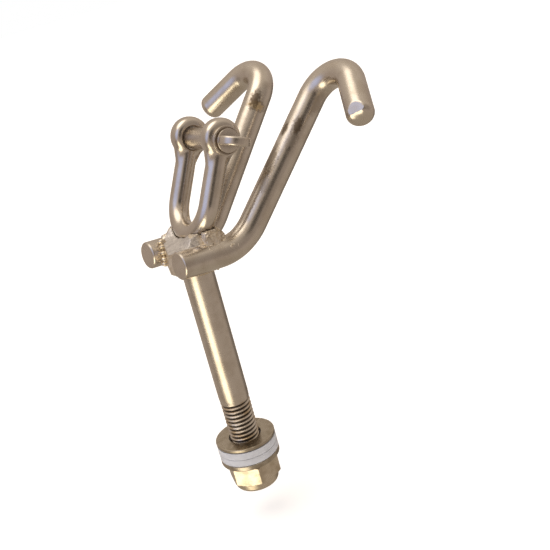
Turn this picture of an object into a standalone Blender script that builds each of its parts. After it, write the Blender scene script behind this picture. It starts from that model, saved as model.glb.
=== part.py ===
# Gooseneck fitting for a sailboat: a threaded pivot stud with washers and a lock nut, a pair of
# outward-turned reefing horns welded beside its head, and a tack shackle welded on top.
# Metres. +Z runs up the stud, +X to the right horn, +Y towards the horns' bends.
# The origin is on the stud's axis, on the face where the mast bracket rests on the upper washer.

from math import atan2, cos, pi, radians, sin, sqrt, tan

import bmesh
import bpy
from mathutils import Matrix, Vector

object_name = "gooseneck_reefing_fitting"
gap = 0.0003                     # between pieces that touch
overshoot = 0.001                # of a cutter past the face it cuts
cutter_reach = 0.04              # of the cutters that trim whole sides

# Stud and what is threaded on it
stud_radius = 0.006
thread_depth = 0.00015           # of the plain cylinder that stands for the thread
thread_top = 0.017
stud_stickout = 0.0015           # below the nut
end_chamfer = 0.0009
washer_clearance = 0.0005        # of the washers' holes over the stud, as a radius
washer_width = 0.0055            # from hole to rim
washer_thickness = 0.0013
lower_washer_thickness = 0.0020
nylon_clearance = 0.0003
nylon_thickness = 0.0028
nut_height = 0.012
nut_hex_height = 0.0086
nut_turn = radians(10)
insert_wall = 0.00155
insert_depth = 0.0024
collar_wall = 0.0013
collar_lip = 0.0008
collar_step = 0.0005             # from the collar out to the flats
collar_round = 0.0012
lip_cover = 0.0006               # of the lip over the insert
ring_edge = 0.0002

thread_radius = stud_radius - thread_depth
washer_hole = stud_radius + washer_clearance
washer_radius = washer_hole + washer_width
nylon_hole = stud_radius + nylon_clearance
insert_radius = thread_radius + gap + insert_wall
collar_radius = insert_radius + collar_wall
nut_flats = 2 * (collar_radius + collar_step)
stack_thicknesses = (washer_thickness, nylon_thickness, nylon_thickness, lower_washer_thickness)

# Rods and horns
rod_radius = 0.0051
rod_spacing = 0.0245             # between the two rods' axes
rod_height = 0.0797              # of the rods' axes, above the stud's axis
rod_slope = radians(-7.5)
right_front = 0.0130             # front ends, ahead of the stud's axis
left_front = 0.0121
bend_start = 0.0041              # behind the stud's axis
bend_radius = 0.0199
bend_angle = radians(53.2)
horn_splay = radians(5.7)
shank_length = 0.0509
hook_radius = 0.0110
hook_angle = radians(132)
tip_length = 0.0196
tip_round = 0.0030
rod_chamfer = 0.0005

# Web between the rods, and its beads
web_inset = 0.00305              # from a rod's axis in to the web's side
web_step = 0.0006                # of its faces in from the rods' tops and undersides
web_setback = 0.0001             # of its front from the right rod's cut end
web_back = 0.0100
recess_start = 0.0053            # the cut-back left of the web's front face
recess_angle = radians(24)
bead_radius = 0.0011
under_bead_front = 0.0045
rear_bead_rise = 0.0015
front_bead_start = radians(-18)  # round the left rod, from its inner side
front_bead_sweep = radians(68)
fillet_height = 0.0014
fillet_reach = 0.0016            # out from the stud

web_half_width = rod_spacing / 2 - web_inset
web_half_height = rod_radius - web_step
web_front = right_front - web_setback

# Shackle
bar_radius = 0.00385
bow_radius = 0.0120              # of the bar's centreline
leg_length = 0.0231              # from the bow's centre to the pin's axis
eye_rise = 0.0006                # of the eyes' outline over the pin's axis
bow_seat = 0.0002                # of the bow's lowest centreline point over the rods' tops
bow_rise = rod_radius + bow_seat
bow_offset = (-0.0008, 0.0071)   # of the bow's centre from the stud's axis
shackle_lean = radians(28.4)
shackle_turn = radians(-3.8)
shackle_roll = radians(2.2)
pin_radius = 0.00395
pin_clearance = 0.0003
pin_end = 0.0004                 # the pin's end past the far eye
pin_edge = 0.0005
pin_collar_width = 0.00145
pin_collar_length = 0.0024
eye_wall = 0.00315
eye_trim = 0.0003                # the eyes are this much thinner than the bar
eye_round = 0.0029
tab_radius = 0.0055
tab_thickness = 0.0038
tab_round = 0.0006
tab_reach = 0.0044               # from the collar's face to the tab's centre
tab_turn = radians(23)

bow_centre = Vector((*bow_offset, rod_height + bow_radius + bow_rise))
eye_radius = pin_radius + pin_clearance + eye_wall
eye_thickness = 2 * bar_radius - eye_trim
pin_collar_radius = pin_radius + pin_collar_width

# Weld saddle under the bow
saddle_margin = 0.0010           # past the bow's centreline on each side
saddle_side = 0.0078
saddle_top = 0.0112
saddle_back = 0.0092
trough_start = radians(36)       # of the trough round the bow, from its side

saddle_base = web_half_height + gap
saddle_reach = bow_radius + saddle_margin

# Ground slope on the front of the web and the saddle, through two points of the rods' frame
slope_low = Vector((0, -0.0130, 0.0032))
slope_high = Vector((0, -0.0031, 0.0068))

rod_sides = 20
ring_steps = 48

rods_frame = Matrix.Translation((0, 0, rod_height)) @ Matrix.Rotation(rod_slope, 4, "X")
shackle_frame = (
    Matrix.Translation(bow_centre)
    @ Matrix.Rotation(shackle_turn, 4, "Z")
    @ Matrix.Rotation(-shackle_roll, 4, "Y")
    @ Matrix.Rotation(-shackle_lean, 4, "X")
)
across_legs = Matrix.Rotation(pi / 2, 4, "Y")
pin_frame = shackle_frame @ Matrix.Translation((0, 0, leg_length)) @ across_legs
eyes_frame = shackle_frame @ Matrix.Translation((0, 0, leg_length + eye_rise)) @ across_legs


def clear_scene():
    for thing in list(bpy.data.objects):
        bpy.data.objects.remove(thing)


def new_collection(name):
    made = bpy.data.collections.new(name)
    bpy.context.scene.collection.children.link(made)
    return made


clear_scene()
parts = new_collection(object_name)
cutters = new_collection("cutters")


def material(name, colour, metallic, roughness):
    made = bpy.data.materials.new(name)
    made.use_nodes = True
    shader = made.node_tree.nodes["Principled BSDF"]
    shader.inputs["Base Color"].default_value = (*colour, 1)
    shader.inputs["Metallic"].default_value = metallic
    shader.inputs["Roughness"].default_value = roughness
    return made


def place(thing, frame, look=None):
    thing.matrix_world = frame
    if look:
        thing.data.materials.append(look)
    if thing.name in cutters.objects:
        thing.hide_render = True
        thing.display_type = "WIRE"
    return thing


def mesh_object(name, shape, collection):
    mesh = bpy.data.meshes.new(name)
    shape.to_mesh(mesh)
    shape.free()
    made = bpy.data.objects.new(name, mesh)
    collection.objects.link(made)
    return made


def box(name, low, high, frame, collection=cutters):
    shape = bmesh.new()
    size = Vector(high) - Vector(low)
    middle = (Vector(high) + Vector(low)) / 2
    bmesh.ops.create_cube(shape, size=1)
    bmesh.ops.scale(shape, vec=size, verts=shape.verts)
    bmesh.ops.translate(shape, vec=middle, verts=shape.verts)
    return place(mesh_object(name, shape, collection), frame)


def cylinder(name, radius, length, frame, sides=ring_steps, collection=cutters):
    shape = bmesh.new()
    bmesh.ops.create_cone(
        shape, cap_ends=True, segments=sides, radius1=radius, radius2=radius, depth=length
    )
    return place(mesh_object(name, shape, collection), frame)


def turned(name, profile, frame, look, collection=parts):
    # profile: (radius, height) points, down the outer side first; a ring's profile closes on itself
    mesh = bpy.data.meshes.new(name)
    is_ring = profile[0] == profile[-1]
    points = profile[:-1] if is_ring else profile
    count = len(points)
    edges = [(i, (i + 1) % count) for i in range(count if is_ring else count - 1)]
    mesh.from_pydata([(radius, 0, height) for radius, height in points], edges, [])
    made = bpy.data.objects.new(name, mesh)
    collection.objects.link(made)
    screw = made.modifiers.new("turn", "SCREW")
    screw.steps = ring_steps
    screw.render_steps = ring_steps
    screw.use_merge_vertices = True
    screw.merge_threshold = 0.00001
    return place(made, frame, look)


def tube(name, points, radius, look, scales=None, sides=rod_sides, collection=parts):
    curve = bpy.data.curves.new(name, "CURVE")
    curve.dimensions = "3D"
    curve.bevel_depth = radius
    curve.bevel_resolution = sides // 2 - 2
    curve.use_fill_caps = True
    spline = curve.splines.new("POLY")
    spline.points.add(len(points) - 1)
    for i, point in enumerate(points):
        spline.points[i].co = (*point, 1)
        spline.points[i].radius = scales[i] if scales else 1
    made = bpy.data.objects.new(name, curve)
    collection.objects.link(made)
    return place(made, Matrix(), look)


def outline(name, points, half_depth, frame, look=None, collection=parts):
    curve = bpy.data.curves.new(name, "CURVE")
    curve.dimensions = "2D"
    curve.fill_mode = "BOTH"
    curve.extrude = half_depth
    spline = curve.splines.new("POLY")
    spline.points.add(len(points) - 1)
    for i, (x, y) in enumerate(points):
        spline.points[i].co = (x, y, 0, 1)
    spline.use_cyclic_u = True
    made = bpy.data.objects.new(name, curve)
    collection.objects.link(made)
    return place(made, frame, look)


def as_mesh(source):
    bpy.context.view_layer.update()
    graph = bpy.context.evaluated_depsgraph_get()
    mesh = bpy.data.meshes.new_from_object(source.evaluated_get(graph))
    shape = bmesh.new()
    shape.from_mesh(mesh)
    bmesh.ops.remove_doubles(shape, verts=shape.verts, dist=0.000001)
    shape.to_mesh(mesh)
    shape.free()
    name = source.name
    collection = source.users_collection[0]
    frame = source.matrix_world.copy()
    bpy.data.objects.remove(source)
    made = bpy.data.objects.new(name, mesh)
    collection.objects.link(made)
    return place(made, frame)


def boolean(target, other, operation):
    step = target.modifiers.new(other.name, "BOOLEAN")
    step.operation = operation
    step.object = other
    step.solver = "EXACT"
    return target


def smooth(thing, angle=35):
    thing.data.shade_smooth()
    thing.data.set_sharp_from_angle(angle=radians(angle))
    return thing


def arc_points(start, heading, inward, radius, angle, steps):
    # points along an arc that leaves start along heading and bends towards inward
    centre = start + inward * radius
    made = []
    for i in range(1, steps + 1):
        turn = angle * i / steps
        made.append(centre - inward * radius * cos(turn) + heading * radius * sin(turn))
    return made, heading * cos(angle) + inward * sin(angle)


def horn_path(side, front, extra=0):
    # centreline of one rod, from its front end through the bend and the shank to the hook's tip;
    # extra lengthens both ends
    across = Vector((side, 0, 0))
    heading = Vector((0, cos(rod_slope), sin(rod_slope)))
    start = Vector((side * rod_spacing / 2, -front, rod_height - front * tan(rod_slope)))
    first = start - heading * extra
    corner = start + heading * (bend_start + front) / cos(rod_slope)
    upward = Vector((0, -sin(rod_slope), cos(rod_slope)))
    inward = upward * cos(horn_splay) + across * sin(horn_splay)
    bend, heading = arc_points(corner, heading, inward, bend_radius, bend_angle, 7)
    neck = bend[-1] + heading * shank_length
    outward = (across - heading * across.dot(heading)).normalized()
    hook, heading = arc_points(neck, heading, outward, hook_radius, hook_angle, 14)
    tip = hook[-1] + heading * (tip_length + extra)
    return [first, corner, *bend, neck, *hook, tip]


def rounded_ends(points, chamfer, rounding):
    # a chamfer at the first end and a rounded nose at the last, as points with their radius scale
    first = (points[1] - points[0]).normalized()
    last = (points[-1] - points[-2]).normalized()
    made = [points[0], points[0] + first * chamfer, *points[1:-1]]
    scales = [1 - chamfer / rod_radius, *[1] * (len(points) - 1)]
    steps = 5
    for i in range(steps + 1):
        turn = radians(78) * i / steps
        made.append(points[-1] - last * rounding * (1 - sin(turn)))
        scales.append(1 - rounding * (1 - cos(turn)) / rod_radius)
    return made, scales


def make_stud(look):
    bottom = stack_bottom() - stud_stickout
    # below the web's sloping underside, at its lowest edge over the stud
    top = rod_height - web_half_height / cos(rod_slope) + stud_radius * tan(rod_slope) - gap
    run = thread_radius - end_chamfer
    profile = [
        (0, top),
        (stud_radius, top),
        (stud_radius, thread_top + stud_radius - thread_radius),
        (thread_radius, thread_top),
        (thread_radius, bottom + end_chamfer),
        (run, bottom),
        (0, bottom),
    ]
    return smooth(turned("pivot_stud", profile, Matrix(), look))


def ring_profile(inner, outer, top, height, edge):
    return [
        (outer - edge, top),
        (outer, top - edge),
        (outer, top - height + edge),
        (outer - edge, top - height),
        (inner + edge, top - height),
        (inner, top - height + edge),
        (inner, top - edge),
        (inner + edge, top),
        (outer - edge, top),
    ]


def stack_heights():
    # top face of each piece on the stud, from the upper washer down to the nut
    tops = [0]
    for thickness in stack_thicknesses:
        tops.append(tops[-1] - thickness - gap)
    return tops


def stack_bottom():
    return stack_heights()[-1] - nut_height


def make_washers(metal, nylon):
    names = ("upper_washer", "nylon_washer_upper", "nylon_washer_lower", "lower_washer")
    for name, top, height in zip(names, stack_heights(), stack_thicknesses):
        is_nylon = name.startswith("nylon")
        hole = nylon_hole if is_nylon else washer_hole
        profile = ring_profile(hole, washer_radius, 0, height, ring_edge)
        smooth(turned(name, profile, Matrix.Translation((0, 0, top)), nylon if is_nylon else metal))


def make_nut(metal, nylon):
    top = stack_heights()[-1]
    frame = Matrix.Translation((0, 0, top)) @ Matrix.Rotation(nut_turn, 4, "Z")
    corner = nut_flats / sqrt(3)
    hexagon = cylinder(
        "lock_nut",
        corner,
        nut_hex_height,
        frame @ Matrix.Translation((0, 0, -nut_hex_height / 2)),
        6,
        parts,
    )
    hexagon.data.materials.append(metal)
    drop = (corner - nut_flats / 2) * tan(radians(30))
    reach = corner + gap
    low = drop + gap * tan(radians(30))
    chamfers = turned(
        "nut_chamfers",
        [
            (0, overshoot),
            (nut_flats / 2, overshoot),
            (nut_flats / 2, 0),
            (reach, -low),
            (reach, low - nut_hex_height),
            (nut_flats / 2, -nut_hex_height),
            (nut_flats / 2, -nut_hex_height - overshoot),
            (0, -nut_hex_height - overshoot),
        ],
        frame,
        None,
        cutters,
    )
    boolean(hexagon, chamfers, "INTERSECT")
    collar = turned(
        "nut_collar",
        [
            (0, -nut_hex_height / 2),
            (collar_radius, -nut_hex_height / 2),
            (collar_radius, collar_round - nut_height),
            (collar_radius - collar_round * 0.3, collar_round * 0.4 - nut_height),
            (collar_radius - collar_round, -nut_height),
            (0, -nut_height),
        ],
        frame,
        None,
        cutters,
    )
    boolean(hexagon, collar, "UNION")
    bore = thread_radius + gap
    pocket = insert_radius + gap
    roof = collar_lip + insert_depth + 2 * gap - nut_height
    lip = insert_radius - lip_cover
    hollow = turned(
        "nut_bore",
        [
            (0, overshoot),
            (bore, overshoot),
            (bore, roof),
            (pocket, roof),
            (pocket, collar_lip - nut_height),
            (lip, collar_lip - nut_height),
            (lip, -nut_height - overshoot),
            (0, -nut_height - overshoot),
        ],
        frame,
        None,
        cutters,
    )
    boolean(hexagon, hollow, "DIFFERENCE")
    insert_top = roof - gap
    profile = ring_profile(bore, insert_radius, insert_top, insert_depth, ring_edge)
    smooth(turned("nut_insert", profile, frame, nylon))


def make_horns(look):
    for side, name, front in ((1, "horn_right", right_front), (-1, "horn_left", left_front)):
        points, scales = rounded_ends(horn_path(side, front), rod_chamfer, tip_round)
        tube(name, points, rod_radius, look, scales)
        room = horn_path(side, front, 3 * overshoot)
        as_mesh(tube(name + "_room", room, rod_radius + gap, None, collection=cutters))


def make_web(look):
    web = box(
        "web",
        (-web_half_width, -web_front, -web_half_height),
        (web_half_width, web_back, web_half_height),
        rods_frame,
        parts,
    )
    web.data.materials.append(look)
    corner = Matrix.Translation((recess_start, -web_front, 0)) @ Matrix.Rotation(-recess_angle, 4, "Z")
    far = cutter_reach
    box("recess", (-far, -far, -far), (0, 0, far), rods_frame @ corner)
    run = slope_high - slope_low
    slope = Matrix.Translation(slope_low) @ Matrix.Rotation(atan2(run.z, run.y), 4, "X")
    box("front_slope", (-far, -far, 0), (far, far, far), rods_frame @ slope)
    for name in ("recess", "front_slope", "horn_right_room", "horn_left_room", "bow_room"):
        boolean(web, cutters.objects[name], "DIFFERENCE")


def make_beads(look):
    # root fillet round the stud's head, under the web
    under = -web_half_height - gap
    inner = stud_radius + gap + fillet_height * tan(abs(rod_slope))
    clear = rod_radius + gap + bead_radius
    low = under - bead_radius
    beside = rod_spacing / 2 - sqrt(clear**2 - low**2)
    outer = min(stud_radius + fillet_reach, beside - bead_radius - 2 * gap)
    profile = [
        (outer, under),
        (inner + (outer - inner) * 0.7, under - fillet_height * 0.5),
        (inner + (outer - inner) * 0.15, under - fillet_height),
        (inner, under - fillet_height),
        (inner, under),
        (outer, under),
    ]
    along = (under - fillet_height / 2) * tan(rod_slope)
    smooth(turned("stud_fillet", profile, rods_frame @ Matrix.Translation((0, along, 0)), look))
    # long beads under the web, one in each corner beside a rod
    for side, name in ((1, "under_bead_right"), (-1, "under_bead_left")):
        ends = [rods_frame @ Vector((side * beside, y, low)) for y in (-under_bead_front, bend_start)]
        tube(name, ends, bead_radius, look, None, 12)
    # across the web's back end, between the rods
    half = rod_spacing / 2 - clear - gap
    back = web_back + gap + bead_radius
    ends = [rods_frame @ Vector((x, back, rear_bead_rise)) for x in (-half, half)]
    tube("rear_bead", ends, bead_radius, look, None, 12)
    # up the corner between the left rod's inner side and the recess
    away = gap + bead_radius
    points = []
    for i in range(8):
        turn = front_bead_start + front_bead_sweep * i / 7
        x = -rod_spacing / 2 + clear * cos(turn)
        y = -web_front - (away + (x - recess_start) * sin(recess_angle)) / cos(recess_angle)
        points.append(rods_frame @ Vector((x, y, clear * sin(turn))))
    tube("front_bead", points, bead_radius, look, None, 12)


def shackle_path(extra=0):
    legs = Vector((0, 0, leg_length + extra))
    steps = 18
    bow = []
    for i in range(steps + 1):
        turn = pi * i / steps
        bow.append(Vector((-bow_radius * cos(turn), 0, -bow_radius * sin(turn))))
    return [shackle_frame @ point for point in (bow[0] + legs, *bow, bow[-1] + legs)]


def make_shackle(look):
    bow = tube("shackle_bow", shackle_path(-eye_radius * 0.3), bar_radius, look, None, 20)
    bow = as_mesh(bow)
    for side in (-1, 1):
        frame = eyes_frame @ Matrix.Translation((0, 0, side * bow_radius))
        eye = cylinder(f"eye_{side}", eye_radius, eye_thickness, frame, 40)
        bevel = eye.modifiers.new("round", "BEVEL")
        bevel.width = eye_round
        bevel.segments = 3
        boolean(bow, eye, "UNION")
    bore = pin_radius + pin_clearance
    boolean(bow, cylinder("pin_bore", bore, 4 * bow_radius, pin_frame), "DIFFERENCE")
    room = tube("bow_room", shackle_path(), bar_radius + gap, None, None, 20, cutters)
    as_mesh(room)
    smooth(bow)


def make_pin(look):
    eye_face = bow_radius + eye_thickness / 2
    seat = eye_face + gap
    head = seat + pin_collar_length
    profile = [
        (0, head),
        (pin_collar_radius - pin_edge, head),
        (pin_collar_radius, head - pin_edge),
        (pin_collar_radius, seat),
        (pin_radius, seat),
        (pin_radius, pin_edge - eye_face - pin_end),
        (pin_radius - pin_edge, -eye_face - pin_end),
        (0, -eye_face - pin_end),
    ]
    pin = turned("shackle_pin", profile, pin_frame, look)
    # the tab is turned about the pin's axis, away from the shackle's own lean
    level = Matrix.Rotation(shackle_lean - tab_turn, 4, "Z")
    centre = Matrix.Translation((0, 0, head + tab_reach))
    frame = pin_frame @ level @ centre @ Matrix.Rotation(-pi / 2, 4, "Y")
    tab = cylinder("tab", tab_radius, tab_thickness, frame, 32)
    bevel = tab.modifiers.new("round", "BEVEL")
    bevel.width = tab_round
    bevel.segments = 2
    boolean(pin, tab, "UNION")
    smooth(pin)


def make_saddle(look):
    # front outline: flat base, shoulders over the rods, and a trough that follows the bow
    down = cos(shackle_lean)
    centre_height = bow_centre.z - rod_height
    trough = []
    for i in range(9):
        turn = trough_start + (pi - 2 * trough_start) * i / 8
        x = bow_centre.x + bow_radius * cos(turn)
        trough.append((x, centre_height - bow_radius * sin(turn) * down))
    points = [
        (-saddle_reach, saddle_base),
        (saddle_reach, saddle_base),
        (saddle_reach, saddle_side),
        (saddle_reach - saddle_margin, saddle_top),
        *trough,
        (saddle_margin - saddle_reach, saddle_top),
        (-saddle_reach, saddle_side),
    ]
    depth = web_front + saddle_back
    middle = Matrix.Translation((0, (saddle_back - web_front) / 2, 0))
    frame = rods_frame @ middle @ Matrix.Rotation(pi / 2, 4, "X")
    saddle = as_mesh(outline("saddle_weld", points, depth / 2, frame, look))
    for name in ("front_slope", "recess", "bow_room", "horn_right_room", "horn_left_room"):
        boolean(saddle, cutters.objects[name], "DIFFERENCE")


steel = material("satin_steel", (0.62, 0.57, 0.52), 1, 0.28)
ground = material("ground_steel", (0.55, 0.50, 0.46), 1, 0.42)
weld = material("weld_metal", (0.60, 0.54, 0.46), 1, 0.38)
plated = material("warm_plated_steel", (0.68, 0.59, 0.46), 1, 0.25)
nylon = material("white_nylon", (0.86, 0.86, 0.85), 0, 0.5)

make_stud(steel)
make_washers(plated, nylon)
make_nut(plated, nylon)
make_horns(steel)
make_shackle(steel)
make_pin(steel)
make_web(ground)
make_beads(weld)
make_saddle(ground)
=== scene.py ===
from math import cos, exp, log, pi, radians, sin, sqrt, tan

import bmesh
import bpy
from mathutils import Matrix, Vector, kdtree, noise


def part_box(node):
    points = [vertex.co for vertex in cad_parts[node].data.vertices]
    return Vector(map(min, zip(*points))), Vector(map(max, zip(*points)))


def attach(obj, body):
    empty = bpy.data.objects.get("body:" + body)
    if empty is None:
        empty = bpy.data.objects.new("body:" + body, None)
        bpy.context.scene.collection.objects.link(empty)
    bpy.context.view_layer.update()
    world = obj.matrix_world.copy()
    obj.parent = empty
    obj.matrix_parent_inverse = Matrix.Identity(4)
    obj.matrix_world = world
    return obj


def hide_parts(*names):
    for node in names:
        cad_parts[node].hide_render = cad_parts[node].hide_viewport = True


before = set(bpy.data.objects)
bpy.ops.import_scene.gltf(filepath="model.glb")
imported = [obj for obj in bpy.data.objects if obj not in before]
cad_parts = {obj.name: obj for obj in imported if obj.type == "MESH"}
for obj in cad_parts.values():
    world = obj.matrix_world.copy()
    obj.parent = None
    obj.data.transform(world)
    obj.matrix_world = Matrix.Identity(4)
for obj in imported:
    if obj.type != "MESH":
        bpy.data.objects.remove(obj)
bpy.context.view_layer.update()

# Where the welded parts meet, in metres. +Z runs up the stud, +X to the right horn.
layout = {
    "rodHeight": 0.0797,
    "rodSlope": radians(-7.5),
    "rodSpacing": 0.0245,
    "rodRadius": 0.0051,
    "bowOffset": (-0.0008, 0.0071),
    "bowRise": 0.0053,
    "bowRadius": 0.0120,
    "legLength": 0.0231,
    "eyeRise": 0.0006,
    "lean": radians(28.4),
    "turn": radians(-3.8),
    "roll": radians(2.2),
}

rodsFrame = Matrix.Translation((0, 0, layout["rodHeight"])) @ Matrix.Rotation(layout["rodSlope"], 4, "X")
bowCentre = Vector((*layout["bowOffset"], layout["rodHeight"] + layout["bowRadius"] + layout["bowRise"]))
shackleFrame = (
    Matrix.Translation(bowCentre)
    @ Matrix.Rotation(layout["turn"], 4, "Z")
    @ Matrix.Rotation(-layout["roll"], 4, "Y")
    @ Matrix.Rotation(-layout["lean"], 4, "X")
)
acrossLegs = Matrix.Rotation(pi / 2, 4, "Y")
eyesFrame = shackleFrame @ Matrix.Translation((0, 0, layout["legLength"] + layout["eyeRise"])) @ acrossLegs
pinFrame = shackleFrame @ Matrix.Translation((0, 0, layout["legLength"])) @ acrossLegs


# helpers for node trees
def put(tree, value, socket):
    if isinstance(value, bpy.types.NodeSocket):
        tree.links.new(value, socket)
    else:
        socket.default_value = value


def addNode(tree, kind, inputs=None, **settings):
    node = tree.nodes.new(kind)
    for key, value in settings.items():
        setattr(node, key, value)
    for key, value in (inputs or {}).items():
        put(tree, value, node.inputs[key])
    return node


def calc(tree, operation, first, *rest):
    # works through the values from the left; one value alone suits SQRT and ABSOLUTE
    for second in rest or (None,):
        node = tree.nodes.new("ShaderNodeMath")
        node.operation = operation
        put(tree, first, node.inputs[0])
        if second is not None:
            put(tree, second, node.inputs[1])
        first = node.outputs[0]
    return first


def plus(tree, *values):
    return calc(tree, "ADD", *values)


def minus(tree, *values):
    return calc(tree, "SUBTRACT", *values)


def times(tree, *values):
    return calc(tree, "MULTIPLY", *values)


def vectorCalc(tree, operation, first, second=None):
    node = tree.nodes.new("ShaderNodeVectorMath")
    node.operation = operation
    put(tree, first, node.inputs[0])
    if second is not None:
        put(tree, second, node.inputs[3 if operation == "SCALE" else 1])
    return node.outputs["Value" if operation in ("LENGTH", "DISTANCE", "DOT_PRODUCT") else "Vector"]


def mapRange(tree, value, fromLow, fromHigh, toLow, toHigh, smooth=False):
    node = tree.nodes.new("ShaderNodeMapRange")
    node.interpolation_type = "SMOOTHSTEP" if smooth else "LINEAR"
    for i, number in enumerate((value, fromLow, fromHigh, toLow, toHigh)):
        put(tree, number, node.inputs[i])
    return node.outputs[0]


def mixColour(tree, amount, first, second, blend="MIX"):
    node = tree.nodes.new("ShaderNodeMix")
    node.data_type = "RGBA"
    node.blend_type = blend
    put(tree, amount, node.inputs[0])
    put(tree, first, node.inputs[6])
    put(tree, second, node.inputs[7])
    return node.outputs[2]


def noiseOver(tree, vector, scale, detail, roughness=0.5):
    # scale is one number for every axis, or a number for each
    spread = vectorCalc(tree, "MULTIPLY" if isinstance(scale, tuple) else "SCALE", vector, scale)
    inputs = {"Vector": spread, "Scale": 1, "Detail": detail, "Roughness": roughness}
    return addNode(tree, "ShaderNodeTexNoise", inputs).outputs[0]


def attribute(tree, name, output="Fac"):
    return addNode(tree, "ShaderNodeAttribute", attribute_name=name).outputs[output]


def addSockets(tree, inputs, outputs):
    # each input's value is its default, or the name of its kind
    kinds = {float: "Float", int: "Int", tuple: "Color"}
    for label, value in inputs.items():
        kind = kinds.get(type(value), value)
        socket = tree.interface.new_socket(label, in_out="INPUT", socket_type="NodeSocket" + kind)
        if kind != value:
            socket.default_value = value
    for label, kind in outputs:
        tree.interface.new_socket(label, in_out="OUTPUT", socket_type="NodeSocket" + kind)
    return tree.nodes.new("NodeGroupInput").outputs, tree.nodes.new("NodeGroupOutput").inputs


# shared effects, as shader groups; each reads a Vector
def newEffect(name, inputs, outputs):
    group = bpy.data.node_groups.new(name, "ShaderNodeTree")
    given, result = addSockets(group, {"Vector": "Vector", **inputs}, outputs)
    return group, given, result


def makeSatinGrain():
    # long fine scratches over a soft mottle, stretched along the vector's Z
    group, given, result = newEffect(
        "satinGrain",
        {"Scratches": 0.5, "Mottle": 0.5},
        [("Roughness", "Float"), ("Height", "Float")],
    )
    scratch = noiseOver(group, given["Vector"], (9000, 9000, 420), 3, 0.6)
    mottle = noiseOver(group, given["Vector"], 1500, 4, 0.65)
    lines = times(group, minus(group, scratch, 0.5), given["Scratches"])
    spots = times(group, minus(group, mottle, 0.5), given["Mottle"])
    put(group, times(group, plus(group, lines, spots), 0.35), result["Roughness"])
    put(group, plus(group, lines, times(group, spots, 2.2)), result["Height"])
    return group


def makePatina():
    # slow drift between two tones, with a fine salt-and-pepper on top
    group, given, result = newEffect(
        "patina",
        {
            "Clean": (0.6, 0.55, 0.5, 1), "Tarnished": (0.45, 0.38, 0.3, 1), "Size": 0.006,
            "Amount": 0.6,
        },
        [("Color", "Color"), ("Mask", "Float")],
    )
    broad = noiseOver(group, given["Vector"], calc(group, "DIVIDE", 1, given["Size"]), 5, 0.6)
    pepper = noiseOver(group, given["Vector"], 3200, 2)
    drift = mapRange(group, broad, 0.38, 0.66, 0, 1, True)
    speck = mapRange(group, pepper, 0.35, 0.75, -0.18, 0.22)
    mask = times(group, plus(group, drift, speck), given["Amount"])
    mask = mapRange(group, mask, 0, 1, 0, 1)
    put(group, mixColour(group, mask, given["Clean"], given["Tarnished"]), result["Color"])
    put(group, mask, result["Mask"])
    return group


def makeEdgeWearAndShade():
    # bright edges, partly wear and partly painted highlight, and painted shade in the hollows, both from
    # how sharply the mesh turns
    group, given, result = newEffect(
        "edgeWearHighlightAndShade",
        {"Start": 0.52, "End": 0.6},
        [("Mask", "Float"), ("CreviceShade", "Float")],
    )
    sharpness = addNode(group, "ShaderNodeNewGeometry").outputs["Pointiness"]
    uneven = mapRange(group, noiseOver(group, given["Vector"], 1800, 3), 0.3, 0.6, 0.35, 1)
    wornAndHighlit = mapRange(group, sharpness, given["Start"], given["End"], 0, 1)
    hollowShade = mapRange(group, sharpness, 0.485, 0.40, 0, 1)
    put(group, times(group, wornAndHighlit, uneven), result["Mask"])
    put(group, times(group, hollowShade, uneven), result["CreviceShade"])
    return group


def makeStainSpot():
    # one soft-edged oval mark round a point, longer along its Long direction
    group, given, result = newEffect(
        "stainSpot",
        {"Centre": "Vector", "Long": "Vector", "Size": 0.002, "Stretch": 0.6},
        [("Mask", "Float"), ("Rim", "Float")],
    )
    away = vectorCalc(group, "SUBTRACT", given["Vector"], given["Centre"])
    along = vectorCalc(group, "DOT_PRODUCT", away, given["Long"])
    shorter = vectorCalc(group, "SCALE", given["Long"], times(group, along, given["Stretch"]))
    oval = vectorCalc(group, "LENGTH", vectorCalc(group, "SUBTRACT", away, shorter))
    wobble = mapRange(group, noiseOver(group, given["Vector"], 1100, 3), 0.3, 0.7, -0.3, 0.3)
    reach = plus(group, calc(group, "DIVIDE", oval, given["Size"]), wobble)
    put(group, mapRange(group, reach, 0.65, 1.0, 1, 0, True), result["Mask"])
    rim = minus(group, 1, calc(group, "ABSOLUTE", minus(group, reach, 1)))
    put(group, mapRange(group, rim, 0.72, 1, 0, 1, True), result["Rim"])
    return group


def makeWeldRipple():
    # crescents that fan out from a centre, broken up by noise
    group, given, result = newEffect(
        "weldRipple",
        {"Centre": "Vector", "Spacing": 0.0006, "Wander": 0.0012},
        [("Height", "Float")],
    )
    away = vectorCalc(group, "DISTANCE", given["Vector"], given["Centre"])
    drift = times(group, noiseOver(group, given["Vector"], 260, 2), given["Wander"])
    turns = calc(group, "DIVIDE", plus(group, away, drift), given["Spacing"])
    put(group, times(group, calc(group, "PINGPONG", turns, 0.5), 2), result["Height"])
    return group


effects = {
    "grain": makeSatinGrain(),
    "patina": makePatina(),
    "wearHighlightAndShade": makeEdgeWearAndShade(),
    "stain": makeStainSpot(),
    "ripple": makeWeldRipple(),
}
print("effects made:", ", ".join(effects))


def newFinish(name):
    look = bpy.data.materials.new(name)
    look.use_nodes = True
    return look, look.node_tree, look.node_tree.nodes["Principled BSDF"]


def fillEffect(tree, name, inputs):
    node = tree.nodes.new("ShaderNodeGroup")
    node.node_tree = effects[name]
    for key, value in inputs.items():
        put(tree, value, node.inputs[key])
    return node.outputs


def patinaOver(tree, place, clean, tarnished, size, amount):
    inputs = {"Vector": place, "Clean": clean, "Tarnished": tarnished, "Size": size, "Amount": amount}
    return fillEffect(tree, "patina", inputs)


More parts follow.
